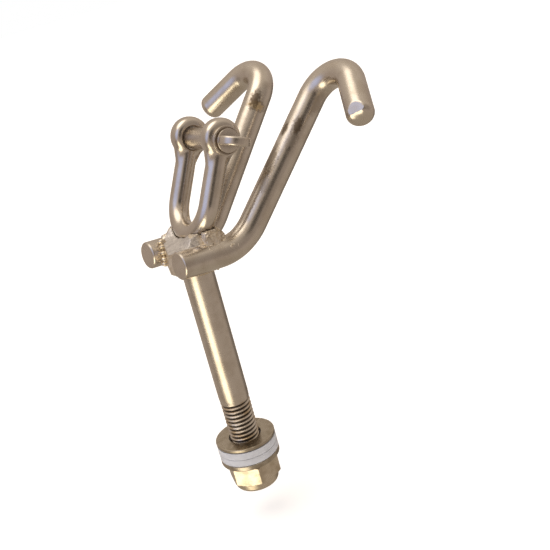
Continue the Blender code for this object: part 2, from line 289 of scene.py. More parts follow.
def paint(tree, shader, colour, rough, height, depth=0.00003, strength=0.6, metallic=1):
    put(tree, colour, shader.inputs["Base Color"])
    put(tree, rough, shader.inputs["Roughness"])
    shader.inputs["Metallic"].default_value = metallic
    bump = addNode(tree, "ShaderNodeBump", {"Height": height, "Distance": depth, "Strength": strength})
    put(tree, bump.outputs[0], shader.inputs["Normal"])


steelTones = {
    "clean": (0.66, 0.60, 0.53, 1),
    "tarnished": (0.50, 0.43, 0.35, 1),
    "stain": (0.13, 0.09, 0.055, 1),
    "golden": (0.62, 0.48, 0.28, 1),
    # the lightened edges' colour: partly wear, partly painted highlight
    "wornAndHighlit": (0.85, 0.78, 0.66, 1),
    "rusty": (0.44, 0.31, 0.16, 1),
    "dark": (0.05, 0.04, 0.032, 1),
}


def steelFinish(name, roughness, grainPath=None, amount=0.55, stains=(), bands=(), wearHighlightAndShade=0.0):
    look, tree, shader = newFinish(name)
    place = addNode(tree, "ShaderNodeTexCoord").outputs["Object"]
    path = attribute(tree, grainPath, "Vector") if grainPath else place
    grain = fillEffect(tree, "grain", {"Vector": path, "Scratches": 0.55, "Mottle": 0.55})
    tone = patinaOver(tree, place, steelTones["clean"], steelTones["tarnished"], 0.007, amount)
    colour = tone["Color"]
    rough = plus(tree, grain["Roughness"], roughness, times(tree, tone["Mask"], 0.10))
    # a band runs round the rod, a stain along it
    marks = [(*band, steelTones["golden"], -0.9) for band in bands]
    marks += [(*stain, steelTones["stain"], 0.5) for stain in stains]
    for centre, run, size, depth, tint, stretch in marks:
        shape = {"Vector": place, "Centre": centre, "Long": run, "Size": size, "Stretch": stretch}
        mark = fillEffect(tree, "stain", shape)
        colour = mixColour(tree, times(tree, mark["Mask"], depth), colour, tint)
        rim = times(tree, mark["Rim"], depth * 0.5)
        colour = mixColour(tree, rim, colour, steelTones["stain"])
        rough = plus(tree, rough, times(tree, mark["Mask"], 0.15))
    # edges lightened, partly wear and partly painted highlight; hollows darkened as painted shade
    if wearHighlightAndShade:
        wornAndHighlit = fillEffect(tree, "wearHighlightAndShade", {"Vector": place})
        colour = mixColour(tree, times(tree, wornAndHighlit["Mask"], wearHighlightAndShade), colour, steelTones["wornAndHighlit"])
        colour = mixColour(tree, times(tree, wornAndHighlit["CreviceShade"], 0.8), colour, steelTones["dark"])
    paint(tree, shader, colour, rough, grain["Height"])
    return look


# helpers for meshes
def linkMesh(name, mesh):
    piece = bpy.data.objects.new(name, mesh)
    bpy.context.scene.collection.objects.link(piece)
    return piece


def fromShape(name, shape):
    mesh = bpy.data.meshes.new(name)
    shape.to_mesh(mesh)
    shape.free()
    return linkMesh(name, mesh)


def baked(source, name, look=None):
    # the evaluated object as a plain mesh, with its place in the mesh
    bpy.context.view_layer.update()
    graph = bpy.context.evaluated_depsgraph_get()
    mesh = bpy.data.meshes.new_from_object(source.evaluated_get(graph))
    mesh.transform(source.matrix_world)
    bpy.data.objects.remove(source)
    mesh.name = name
    if look:
        mesh.materials.clear()
        mesh.materials.append(look)
    return linkMesh(name, mesh)


def closeUp(piece, distance=0.000001):
    shape = bmesh.new()
    shape.from_mesh(piece.data)
    bmesh.ops.remove_doubles(shape, verts=shape.verts, dist=distance)
    bmesh.ops.recalc_face_normals(shape, faces=shape.faces)
    shape.to_mesh(piece.data)
    shape.free()
    return piece


def smoothShade(piece, angle=40):
    piece.data.shade_smooth()
    piece.data.set_sharp_from_angle(angle=radians(angle))
    return piece


def fuse(pieces, name, voxel, iterations, look=None):
    # overlapping closed shapes become one skin, softened where they meet
    shape = bmesh.new()
    for piece in pieces:
        shape.from_mesh(piece.data)
    for piece in pieces:
        bpy.data.objects.remove(piece)
    skin = fromShape(name + "Cage", shape)
    remesh = skin.modifiers.new("fuse", "REMESH")
    remesh.mode = "VOXEL"
    remesh.voxel_size = voxel
    soften = skin.modifiers.new("soften", "SMOOTH")
    soften.factor = 0.5
    soften.iterations = iterations
    return baked(skin, name, look)


def cut(piece, cutter, name, look=None):
    step = piece.modifiers.new("cut", "BOOLEAN")
    step.operation = "DIFFERENCE"
    step.object = cutter
    made = baked(piece, name, look)
    bpy.data.objects.remove(cutter)
    return made


def softCorners(points, radius, steps=4, closed=True):
    # replaces each corner of an outline by a short curve
    count = len(points)
    made = []
    for i, point in enumerate(points):
        here = Vector(point)
        if not closed and i in (0, count - 1):
            made.append(here)
            continue
        before = Vector(points[i - 1]) - here
        after = Vector(points[(i + 1) % count]) - here
        start = here + before.normalized() * min(radius, before.length * 0.45)
        end = here + after.normalized() * min(radius, after.length * 0.45)
        for k in range(steps + 1):
            t = k / steps
            made.append(start * (1 - t) ** 2 + here * 2 * t * (1 - t) + end * t**2)
    return made


def turned(name, profile, place=None, closed=True, look=None, steps=144):
    # profile: (radius, height) points; a closed one is a ring, an open one starts and ends on the axis
    mesh = bpy.data.meshes.new(name)
    count = len(profile)
    edges = [(i, (i + 1) % count) for i in range(count if closed else count - 1)]
    mesh.from_pydata([(point[0], 0, point[1]) for point in profile], edges, [])
    raw = linkMesh(name + "Profile", mesh)
    screw = raw.modifiers.new("turn", "SCREW")
    screw.steps = steps
    screw.render_steps = steps
    screw.use_merge_vertices = True
    screw.merge_threshold = 0.000005
    piece = closeUp(baked(raw, name, look))
    piece.data.transform(place or Matrix())
    return smoothShade(piece)


def smoothStep(value, start, end):
    share = min(max((value - start) / (end - start), 0), 1)
    return share * share * (3 - 2 * share)


def arcPoints(start, heading, inward, radius, angle, steps):
    centre = start + inward * radius
    made = []
    for i in range(1, steps + 1):
        turn = angle * i / steps
        made.append(centre - inward * radius * cos(turn) + heading * radius * sin(turn))
    return made, heading * cos(angle) + inward * sin(angle)


def polyline(name, points):
    mesh = bpy.data.meshes.new(name)
    mesh.from_pydata(points, [(i, i + 1) for i in range(len(points) - 1)], [])
    return linkMesh(name, mesh)


def setInputs(step, values):
    # by each socket's identifier, before the object is first evaluated
    for item in step.node_group.interface.items_tree:
        if item.item_type == "SOCKET" and item.in_out == "INPUT" and item.name in values:
            step[item.identifier] = values[item.name]


def grown(source, tree, values, name):
    step = source.modifiers.new("grow", "NODES")
    step.node_group = tree
    setInputs(step, values)
    return closeUp(baked(source, name))


def newGeometryTree(name, inputs):
    tree = bpy.data.node_groups.new(name, "GeometryNodeTree")
    tree.is_modifier = True
    given, result = addSockets(tree, {"Geometry": "Geometry", **inputs}, [("Geometry", "Geometry")])
    return tree, given, result


def finishTree(tree, geometry, material, result):
    real = addNode(tree, "GeometryNodeRealizeInstances", {"Geometry": geometry})
    painted = addNode(tree, "GeometryNodeSetMaterial", {"Geometry": real.outputs[0], "Material": material})
    put(tree, painted.outputs[0], result["Geometry"])
    return tree


# the rods of the two horns
horn = {
    "frontRight": 0.0130,      # cut ends, ahead of the stud
    "frontLeft": 0.0121,
    "bendStart": 0.0041,
    "bendRadius": 0.0199,
    "bendAngle": radians(53.2),
    "bendSteps": 40,
    "splay": radians(5.7),
    "shank": 0.0509,
    "hookRadius": 0.0110,
    "hookAngle": radians(132),
    "hookSteps": 80,
    "tip": 0.0196,
    "nose": 0.0032,
    "noseReach": 0.008,        # how far from its end a hook is filed
    "chamfer": 0.0004,
    "ringSpacing": 0.0003,
    "sides": 64,
    "roughness": 0.23,
}
# marks on each shank: how far up it, degrees from its inner side to its top, size, depth of colour
hornMarks = {
    "rightStains": [
        (0.755, 142, 0.0017, 0.85),
        (0.640, 146, 0.0018, 0.4),
        (0.700, 92, 0.0013, 0.85),
        (0.470, 88, 0.0027, 0.7),
        (0.975, 176, 0.0026, 0.3),
        (0.270, 120, 0.0018, 0.3),
    ],
    "leftStains": [(0.935, 42, 0.0020, 0.85)],
    "leftGilding": [(0.893, 28, 0.0038, 0.85)],
    # flats filed on the right hook's nose: which way each faces, and how deep it is
    "rightFlats": [((0.476, -0.745, 0.472), 0.0009), ((0.660, -0.720, -0.200), 0.0004)],
}


def hornPath(side, front):
    slope = layout["rodSlope"]
    across = Vector((side, 0, 0))
    heading = Vector((0, cos(slope), sin(slope)))
    start = Vector((side * layout["rodSpacing"] / 2, -front, layout["rodHeight"] - front * tan(slope)))
    corner = start + heading * (horn["bendStart"] + front) / cos(slope)
    upward = Vector((0, -sin(slope), cos(slope)))
    inward = upward * cos(horn["splay"]) + across * sin(horn["splay"])
    bendShape = horn["bendRadius"], horn["bendAngle"], horn["bendSteps"]
    bend, heading = arcPoints(corner, heading, inward, *bendShape)
    neck = bend[-1] + heading * horn["shank"]
    outward = (across - heading * across.dot(heading)).normalized()
    hookShape = horn["hookRadius"], horn["hookAngle"], horn["hookSteps"]
    hook, heading = arcPoints(neck, heading, outward, *hookShape)
    return [start, corner, *bend, neck, *hook, hook[-1] + heading * horn["tip"]]


def captured(tree, geometry, kind, label, value):
    node = addNode(tree, "GeometryNodeCaptureAttribute", {"Geometry": geometry})
    node.capture_items.new(kind, label)
    put(tree, value, node.inputs[1])
    return node.outputs


def makeRodTree():
    tree, given, result = newGeometryTree(
        "rodAlongPath",
        {
            "Radius": 0.005, "Chamfer": 0.0004, "Nose": 0.003, "Spacing": 0.0003, "Sides": 64,
            "Material": "Material",
        },
    )
    line = addNode(tree, "GeometryNodeMeshToCurve", {"Mesh": given["Geometry"]})
    spaced = {"Curve": line.outputs[0], "Length": given["Spacing"]}
    even = addNode(tree, "GeometryNodeResampleCurve", spaced, mode="LENGTH")
    done = addNode(tree, "GeometryNodeSplineParameter").outputs["Length"]
    total = addNode(tree, "GeometryNodeSplineLength").outputs["Length"]
    # chamfer at the cut end
    cutBack = calc(tree, "MAXIMUM", minus(tree, given["Chamfer"], done), 0)
    # quarter round at the hook's nose
    left = minus(tree, total, done)
    inNose = calc(tree, "MAXIMUM", minus(tree, given["Nose"], left), 0)
    square = minus(tree, calc(tree, "POWER", given["Nose"], 2), calc(tree, "POWER", inNose, 2))
    fallAway = minus(tree, given["Nose"], calc(tree, "SQRT", calc(tree, "MAXIMUM", square, 0)))
    radius = minus(tree, given["Radius"], cutBack, fallAway)
    measured = captured(tree, even.outputs[0], "FLOAT", "Length", done)
    ring = addNode(tree, "GeometryNodeCurvePrimitiveCircle", {"Resolution": given["Sides"], "Radius": 1.0})
    around = addNode(tree, "GeometryNodeInputPosition").outputs[0]
    section = captured(tree, ring.outputs[0], "VECTOR", "Section", around)
    sweep = {"Curve": measured[0], "Profile Curve": section[0], "Scale": radius, "Fill Caps": True}
    swept = addNode(tree, "GeometryNodeCurveToMesh", sweep)
    # the rod unrolled: its section across, its length along Z
    flat = vectorCalc(tree, "SCALE", section[1], given["Radius"])
    up = addNode(tree, "ShaderNodeCombineXYZ", {"Z": measured[1]})
    straight = vectorCalc(tree, "ADD", flat, up.outputs[0])
    grainPath = {"Geometry": swept.outputs[0], "Name": "grainPath", "Value": straight}
    stored = addNode(tree, "GeometryNodeStoreNamedAttribute", grainPath, data_type="FLOAT_VECTOR")
    return finishTree(tree, stored.outputs[0], given["Material"], result)


rodTree = makeRodTree()


def fileFlats(piece, end, flats):
    near = [vertex for vertex in piece.data.vertices if (vertex.co - end).length < horn["noseReach"]]
    for aim, depth in flats:
        normal = Vector(aim).normalized()
        level = max(vertex.co.dot(normal) for vertex in near) - depth
        for vertex in near:
            beyond = vertex.co.dot(normal) - level
            if beyond > 0:
                vertex.co -= normal * beyond


def makeHorn(side, name, front, node, look, flats=()):
    path = hornPath(side, front)
    source = polyline(name + "Path", path)
    values = {
        "Radius": layout["rodRadius"],
        "Chamfer": horn["chamfer"],
        "Nose": horn["nose"],
        "Spacing": horn["ringSpacing"],
        "Sides": horn["sides"],
        "Material": look,
    }
    piece = grown(source, rodTree, values, name)
    fileFlats(piece, path[-1], flats)
    smoothShade(piece, 26)
    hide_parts(node)
    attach(piece, "fitting")
    return path


def marksOn(side, marks):
    # each mark's centre on the rod's skin, the shank's run, and the mark's size and depth
    path = hornPath(side, horn["frontRight"] if side > 0 else horn["frontLeft"])
    low, high = path[horn["bendSteps"] + 1], path[horn["bendSteps"] + 2]
    run = (high - low).normalized()
    inner = (Vector((-side, 0, 0)) - run * run.dot(Vector((-side, 0, 0)))).normalized()
    above = run.cross(inner) * side
    placed = []
    for share, around, size, depth in marks:
        aim = inner * cos(radians(around)) + above * sin(radians(around))
        centre = low.lerp(high, share) + aim * layout["rodRadius"]
        placed.append((tuple(centre), tuple(run), size, depth))
    return placed


rightStains = marksOn(1, hornMarks["rightStains"])
leftStains = marksOn(-1, hornMarks["leftStains"])
leftGilding = marksOn(-1, hornMarks["leftGilding"])
hornSteel = (horn["roughness"], "grainPath", 0.55)
rightLook = steelFinish("hornRightSteel", *hornSteel, rightStains)
leftLook = steelFinish("hornLeftSteel", *hornSteel, leftStains, leftGilding)
rightPath = makeHorn(1, "hornRight", horn["frontRight"], "horn_right", rightLook, hornMarks["rightFlats"])
leftPath = makeHorn(-1, "hornLeft", horn["frontLeft"], "horn_left", leftLook)
print("horns made")


# the pivot stud and its thread
stud = {
    "radius": 0.0060,
    "crest": 0.00588,
    "pitch": 0.00175,
    "depth": 0.00095,
    "runOut": 0.0016,
    "step": 0.0004,            # over which the thread's crest gives way to the plain shank
    "threadTop": 0.0170,
    "chamfer": 0.0009,
    "sides": 96,
    "rowsPerTurn": 12,
    "shankRows": 24,
}


def makeThreadTree():
    tree, given, result = newGeometryTree(
        "threadedStud",
        {
            "Bottom": -0.02, "Thread Top": 0.017, "Top": 0.07, "Radius": 0.006,
            "Crest": 0.0058, "Pitch": 0.00175, "Depth": 0.0009, "Run Out": 0.0017,
            "Step": 0.0004, "Chamfer": 0.0009, "Sides": 96, "Thread Rows": 270,
            "Shank Rows": 20, "Material": "Material",
        },
    )
    rows = plus(tree, given["Thread Rows"], given["Shank Rows"])
    tube = {"Vertices": given["Sides"], "Side Segments": rows, "Radius": 1.0, "Depth": 1.0}
    raw = addNode(tree, "GeometryNodeMeshCylinder", tube)
    spot = addNode(tree, "GeometryNodeInputPosition").outputs[0]
    x, y, z = addNode(tree, "ShaderNodeSeparateXYZ", {0: spot}).outputs
    share = plus(tree, z, 0.5)
    split = calc(tree, "DIVIDE", given["Thread Rows"], rows)
    low = mapRange(tree, share, 0, split, given["Bottom"], given["Thread Top"])
    rise = minus(tree, given["Top"], given["Thread Top"])
    high = mapRange(tree, share, split, 1, 0, rise)
    height = plus(tree, low, high)
    angle = calc(tree, "DIVIDE", calc(tree, "ARCTAN2", y, x), 2 * pi)
    turns = minus(tree, calc(tree, "DIVIDE", height, given["Pitch"]), angle)
    wave = calc(tree, "PINGPONG", turns, 0.5)      # 0 at the root, half at the crest
    flank = mapRange(tree, wave, 0.06, 0.42, 1, 0)
    fade = mapRange(tree, minus(tree, given["Thread Top"], height), 0, given["Run Out"], 0, 1)
    groove = times(tree, flank, given["Depth"], fade)
    shankStart = plus(tree, given["Thread Top"], given["Step"])
    body = mapRange(tree, height, given["Thread Top"], shankStart, given["Crest"], given["Radius"])
    above = minus(tree, height, given["Bottom"])
    bevelled = plus(tree, minus(tree, given["Crest"], given["Chamfer"]), above)
    radius = calc(tree, "MINIMUM", minus(tree, body, groove), bevelled)
    x, y = times(tree, x, radius), times(tree, y, radius)
    across = addNode(tree, "ShaderNodeCombineXYZ", {"X": x, "Y": y, "Z": height})
    shift = {"Geometry": raw.outputs[0], "Position": across.outputs[0]}
    moved = addNode(tree, "GeometryNodeSetPosition", shift)
    return finishTree(tree, moved.outputs[0], given["Material"], result)


def threadFinish():
    look, tree, shader = newFinish("threadedSteel")
    place = addNode(tree, "ShaderNodeTexCoord").outputs["Object"]
    radius = vectorCalc(tree, "LENGTH", vectorCalc(tree, "MULTIPLY", place, (1, 1, 0)))
    height = addNode(tree, "ShaderNodeSeparateXYZ", {0: place}).outputs[2]
    inThread = mapRange(tree, height, stud["threadTop"] - 0.0004, stud["threadTop"] + 0.0003, 1, 0)
    # painted shade down in the thread's grooves, darkest towards the root
    root = stud["crest"] - stud["depth"]
    deep = mapRange(tree, radius, root + 0.0001, stud["crest"] - 0.0002, 1, 0)
    grooveShade = times(tree, deep, inThread)
    grain = fillEffect(tree, "grain", {"Vector": place, "Scratches": 0.6, "Mottle": 0.5})
    tone = patinaOver(tree, place, steelTones["clean"], steelTones["tarnished"], 0.006, 0.55)
    rust = mapRange(tree, noiseOver(tree, place, 230, 4), 0.48, 0.66, 0, 0.75)
    colour = mixColour(tree, times(tree, rust, inThread), tone["Color"], steelTones["rusty"])
    colour = mixColour(tree, mapRange(tree, grooveShade, 0.25, 0.85, 0, 0.94), colour, steelTones["dark"])
    rough = plus(tree, grain["Roughness"], 0.27, times(tree, grooveShade, 0.3))
    paint(tree, shader, colour, rough, grain["Height"])
    return look


def makeStud():
    low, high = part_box("pivot_stud")
    turns = (stud["threadTop"] - low[2]) / stud["pitch"]
    source = polyline("studSeed", [(0, 0, low[2]), (0, 0, high[2])])
    values = {
        "Bottom": low[2],
        "Thread Top": stud["threadTop"],
        "Top": high[2],
        "Radius": stud["radius"],
        "Crest": stud["crest"],
        "Pitch": stud["pitch"],
        "Depth": stud["depth"],
        "Run Out": stud["runOut"],
        "Step": stud["step"],
        "Chamfer": stud["chamfer"],
        "Sides": stud["sides"],
        "Thread Rows": int(turns * stud["rowsPerTurn"]),
        "Shank Rows": stud["shankRows"],
        "Material": threadFinish(),
    }
    piece = smoothShade(grown(source, makeThreadTree(), values, "pivotStud"), 60)
    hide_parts("pivot_stud")
    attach(piece, "fitting")


makeStud()
print("stud made")


# washers, nylon and the lock nut
stack = {
    "metalHole": 0.0065,
    "metalEdge": 0.00028,
    "nylonHole": 0.0063,
    "nylonEdge": 0.00014,
    "settle": 0.00018,         # how far the upper nylon washer sinks onto the lower one
}

nut = {
    "flats": 0.0190,
    "hexHeight": 0.0086,
    "turn": radians(10),
    "chamferAngle": radians(30),
    "bore": 0.00615,
    "collar": 0.0090,
    "collarRound": 0.0016,
    "pocket": 0.0080,
    "lip": 0.0071,
    "lipHeight": 0.0008,
    "insertDepth": 0.0030,
    "insertEdge": 0.0002,
    "boreEdge": 0.0005,
    "faceInset": 0.0012,
    "faceEdge": 0.0001,
    "collarGap": 0.00025,
    "columns": 288,
    "hexRows": 44,
    "collarRows": 12,
    "soft": 0.00009,           # how far the chamfer's edges are rounded
    "cornerSoft": 0.00012,
}


def platedFinish(name, shade):
    look, tree, shader = newFinish(name)
    place = addNode(tree, "ShaderNodeTexCoord").outputs["Object"]
    flat = vectorCalc(tree, "MULTIPLY", place, (1, 1, 4))
    grain = fillEffect(tree, "grain", {"Vector": flat, "Scratches": 0.25, "Mottle": 0.8})
    # shade scales both tones; below 1 it gives the washers' painted shade
    clean = (0.70 * shade, 0.62 * shade, 0.50 * shade, 1)
    tarnished = (0.42 * shade, 0.34 * shade, 0.23 * shade, 1)
    tone = patinaOver(tree, place, clean, tarnished, 0.004, 0.6)
    # edges lightened, partly wear and partly painted highlight
    wornAndHighlit = fillEffect(tree, "wearHighlightAndShade", {"Vector": place})["Mask"]
    colour = mixColour(tree, times(tree, wornAndHighlit, 0.7), tone["Color"], (0.86, 0.78, 0.62, 1))
    rough = plus(tree, grain["Roughness"], 0.27, times(tree, tone["Mask"], 0.14))
    paint(tree, shader, colour, rough, grain["Height"])
    return look


def nylonFinish(name, tint):
    look, tree, shader = newFinish(name)
    place = addNode(tree, "ShaderNodeTexCoord").outputs["Object"]
    lines = noiseOver(tree, place, (260, 260, 5200), 3)
    scuff = mapRange(tree, noiseOver(tree, place, 240, 3), 0.42, 0.7, 0, 0.55, True)
    colour = mixColour(tree, scuff, tint, (tint[0] * 0.86, tint[1] * 0.85, tint[2] * 0.84, 1))
    colour = mixColour(tree, mapRange(tree, lines, 0.58, 0.8, 0, 0.4), colour, (0.45, 0.43, 0.41, 1))
    shader.inputs["Subsurface Weight"].default_value = 0.25
    shader.inputs["Subsurface Radius"].default_value = (0.002, 0.002, 0.002)
    shader.inputs["Subsurface Scale"].default_value = 1
    paint(tree, shader, colour, mapRange(tree, lines, 0.3, 0.7, 0.38, 0.58), lines, 0.00006, metallic=0)
    return look


def ringOf(node, name, body, hole, edge, look, slot, settle=0):
    low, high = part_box(node)
    outer = (high[0] - low[0]) / 2
    under = low[2] - settle
    corners = [(outer, high[2]), (outer, under), (hole, under), (hole, high[2])]
    piece = turned(name, softCorners(corners, edge, 4), look=look)
    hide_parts(node)
    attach(piece, body)


def softMin(first, second, width):
    # the smaller of two lengths, with the crossing rounded off
    near = min(first, second)
    return near - width * log(exp(-(first - near) / width) + exp(-(second - near) / width))


def nutSection(top, bottom):
    # (limit of the radius, height, whether the flats cut it) down the outside, then up the inside
    half = nut["flats"] / 2
    slope = 1 / tan(nut["chamferAngle"])
    rows = [(nut["bore"] + nut["boreEdge"], top, False), (half - nut["faceInset"], top, False)]
    for i in range(nut["hexRows"] + 1):
        down = nut["hexHeight"] * i / nut["hexRows"]
        inset = min(down, nut["hexHeight"] - down)
        rows.append((half - nut["faceEdge"] + inset * slope, top - down, True))
    rows.append((nut["collar"], top - nut["hexHeight"] - nut["collarGap"], False))
    for i in range(nut["collarRows"] + 1):
        turn = pi / 2 * i / nut["collarRows"]
        inward, upward = nut["collarRound"] * (1 - cos(turn)), nut["collarRound"] * (1 - sin(turn))
        rows.append((nut["collar"] - inward, bottom + upward, False))
    lip = bottom + nut["lipHeight"]
    seat = lip + nut["insertDepth"]
    inside = [(nut["lip"], bottom), (nut["lip"], lip), (nut["pocket"], lip), (nut["pocket"], seat)]
    inside += [(nut["bore"], seat), (nut["bore"], top - nut["boreEdge"])]
    return rows + [(radius, level, False) for radius, level in inside]


def makeNut(look):
    low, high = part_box("lock_nut")
    rows = nutSection(high[2], low[2])
    half = nut["flats"] / 2
    columns = nut["columns"]
    shape = bmesh.new()
    rings = []
    for limit, height, isHex in rows:
        ring = []
        for k in range(columns):
            angle = 2 * pi * k / columns
            fromFlat = (angle + radians(30)) % radians(60) - radians(30)
            beside = half / cos(radians(60) - abs(fromFlat))
            flat = softMin(half / cos(fromFlat), beside, nut["cornerSoft"])
            radius = softMin(limit, flat, nut["soft"]) if isHex else limit
            turn = angle + nut["turn"]
            ring.append(shape.verts.new((radius * cos(turn), radius * sin(turn), height)))
        rings.append(ring)
    for i, ring in enumerate(rings):
        other = rings[(i + 1) % len(rings)]
        for k in range(columns):
            after = (k + 1) % columns
            shape.faces.new((ring[k], other[k], other[after], ring[after]))
    bmesh.ops.recalc_face_normals(shape, faces=shape.faces)
    piece = smoothShade(fromShape("lockNut", shape), 32)
    piece.data.materials.append(look)
    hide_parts("lock_nut")
    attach(piece, "nut")


platedBright = platedFinish("platedSteelBright", 1.0)
# a darker copy of the plated finish: painted shade on both washers
platedShaded = platedFinish("platedSteelShaded", 0.72)
nylonWhite = nylonFinish("nylonWhite", (0.50, 0.51, 0.55, 1))
nylonInsert = nylonFinish("nylonInsert", (0.62, 0.68, 0.80, 1))
metal = (stack["metalHole"], stack["metalEdge"], platedShaded, "warm_plated_steel")
nylon = (stack["nylonHole"], stack["nylonEdge"], nylonWhite, "white_nylon")
ringOf("upper_washer", "upperWasher", "washer_up", *metal)
ringOf("lower_washer", "lowerWasher", "washer_low", *metal)
ringOf("nylon_washer_upper", "nylonUpper", "nylon_up", *nylon, stack["settle"])
ringOf("nylon_washer_lower", "nylonLower", "nylon_low", *nylon)
ringOf("nut_insert", "nutInsert", "nut", nut["bore"], nut["insertEdge"], nylonInsert, "white_nylon")
makeNut(platedBright)
print("stack made")


# the tack shackle and its pin
shackle = {
    "bar": 0.00385,
    "eye": 0.0074,
    "eyeThickness": 0.0074,
    "eyeRound": 0.0034,
    "neck": 0.0056,            # half width of the flare into each eye
    "bore": 0.00425,
    "mouth": 0.0006,           # how far the bore opens at each face
    "flareFoot": 0.96,         # of the bar's radius
    "flareLength": 0.006,
    "flareDrop": 0.0076,       # from the pin down to the flare's middle
    "flareSqueeze": 0.64,
    "neckTop": (0.0030, 0.0055),   # where the necks' softening fades in and out, below the pin
    "neckFoot": (0.0100, 0.0130),
    "voxel": 0.00026,
    "softening": 12,
    "neckSoftening": 60,
}

pin = {
    "radius": 0.00395,
    "end": 0.0004,
    "collar": 0.0054,
    "collarLength": 0.0024,
    "flange": 0.0013,          # thickness of the collar's wider part
    "boss": 0.0043,
    "grooveWidth": 0.0004,     # round the boss's foot
    "grooveDepth": 0.0007,
    "tabRadius": 0.0055,
    "tabThickness": 0.0038,
    "tabReach": 0.0044,
    "tabTurn": radians(23),
    "tabTaper": 0.86,
    "tabEdge": 0.0009,
    "seatGap": 0.0003,
    "edge": 0.00022,
}


def barOn(points, radius, name, sides=40):
    curve = bpy.data.curves.new(name, "CURVE")
    curve.dimensions = "3D"
    curve.bevel_depth = radius
    curve.bevel_resolution = sides // 2 - 2
    curve.use_fill_caps = True
    spline = curve.splines.new("POLY")
    spline.points.add(len(points) - 1)
    for i, point in enumerate(points):
        spline.points[i].co = (*point, 1)
    bar = bpy.data.objects.new(name, curve)
    bpy.context.scene.collection.objects.link(bar)
    return closeUp(baked(bar, name))


def bowPath(steps=60):
    radius = layout["bowRadius"]
    legs = Vector((0, 0, layout["legLength"] - shackle["eye"] * 0.4))
    bow = []
    for i in range(steps + 1):
        turn = pi * i / steps
        bow.append(Vector((-radius * cos(turn), 0, -radius * sin(turn))))
    return [shackleFrame @ point for point in (bow[0] + legs, *bow, bow[-1] + legs)]


def softenNecks(bow):
    # the forged run from each leg into its eye
    toShackle = shackleFrame.inverted()
    weights = bow.vertex_groups.new(name="necks")
    for vertex in bow.data.vertices:
        below = layout["legLength"] - (toShackle @ vertex.co).z
        share = smoothStep(below, *shackle["neckTop"]) * (1 - smoothStep(below, *shackle["neckFoot"]))
        if share > 0:
            weights.add([vertex.index], share, "REPLACE")
    soften = bow.modifiers.new("necks", "SMOOTH")
    soften.factor = 0.5
    soften.iterations = shackle["neckSoftening"]
    soften.vertex_group = "necks"
    return baked(bow, "bowSoft")


def boreCutter():
    # a straight bore whose mouths open a little at the four faces of the eyes
    bore, mouth = shackle["bore"], shackle["mouth"]
    wide, reach = bore + mouth, 0.03
    inner = layout["bowRadius"] - shackle["eyeThickness"] / 2
    outer = layout["bowRadius"] + shackle["eyeThickness"] / 2
    rise = [(0, reach), (wide, reach), (wide, outer)]
    rise += [(bore, outer - mouth), (bore, inner + mouth), (wide, inner)]
    profile = rise + [(radius, -height) for radius, height in reversed(rise)]
    return turned("boreCutter", profile, pinFrame, False)


def makeBow(look):
    pieces = [barOn(bowPath(), shackle["bar"], "bowBar")]
    half = shackle["eyeThickness"] / 2
    disc = [(0, half), (shackle["eye"], half), (shackle["eye"], -half), (0, -half)]
    rim = softCorners(disc, shackle["eyeRound"], 8, False)
    for side in (-1, 1):
        place = eyesFrame @ Matrix.Translation((0, 0, side * layout["bowRadius"]))
        pieces.append(turned("eyeBlank", rim, place, False))
        # flare from the leg up into the eye
        flare = bmesh.new()
        ends = {"radius1": shackle["bar"] * shackle["flareFoot"], "radius2": shackle["neck"]}
        bmesh.ops.create_cone(flare, cap_ends=True, segments=32, depth=shackle["flareLength"], **ends)
        neck = fromShape("neckBlank", flare)
        drop = layout["legLength"] - shackle["flareDrop"]
        lift = Matrix.Translation((side * layout["bowRadius"], 0, drop))
        squeeze = Matrix.Diagonal((shackle["flareSqueeze"], 1, 1, 1))
        neck.data.transform(shackleFrame @ lift @ squeeze)
        pieces.append(neck)
    bow = softenNecks(fuse(pieces, "bowSkin", shackle["voxel"], shackle["softening"]))
    bore = boreCutter()
    piece = smoothShade(cut(bow, bore, "tackShackle", look), 40)
    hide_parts("shackle_bow")
    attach(piece, "fitting")


def makePin(look):
    face = layout["bowRadius"] + shackle["eyeThickness"] / 2
    seat = face + pin["seatGap"]
    head = seat + pin["collarLength"]
    foot = seat + pin["flange"]
    groove, grooveEdge = foot - pin["grooveDepth"], pin["boss"] + pin["grooveWidth"]
    profile = [
        (0, head),
        (pin["boss"], head),
        (pin["boss"], groove),
        (grooveEdge, groove),
        (grooveEdge, foot),
        (pin["collar"], foot),
        (pin["collar"], seat),
        (pin["radius"], seat),
        (pin["radius"], -face - pin["end"]),
        (0, -face - pin["end"]),
    ]
    shaft = turned("pinShaft", softCorners(profile, pin["edge"], 4, False), pinFrame, False)
    lean = Matrix.Rotation(layout["lean"] - pin["tabTurn"], 4, "Z")
    stand = Matrix.Translation((0, 0, head + pin["tabReach"])) @ Matrix.Rotation(-pi / 2, 4, "Y")
    half = pin["tabThickness"] / 2
    rim = half * pin["tabTaper"]
    plate = [(0, half), (pin["tabRadius"], rim), (pin["tabRadius"], -rim), (0, -half)]
    tab = turned("pinTab", softCorners(plate, pin["tabEdge"], 5, False), pinFrame @ lean @ stand, False)
    joined = shaft.modifiers.new("join", "BOOLEAN")
    joined.operation = "UNION"
    joined.object = tab
    piece = smoothShade(baked(shaft, "shacklePin", look), 35)
    bpy.data.objects.remove(tab)
    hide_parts("shackle_pin")
    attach(piece, "pin")


makeBow(steelFinish("shackleSteel", 0.18, amount=0.4))
makePin(steelFinish("pinSteel", 0.26, amount=0.5, wearHighlightAndShade=0.5))
print("shackle made")


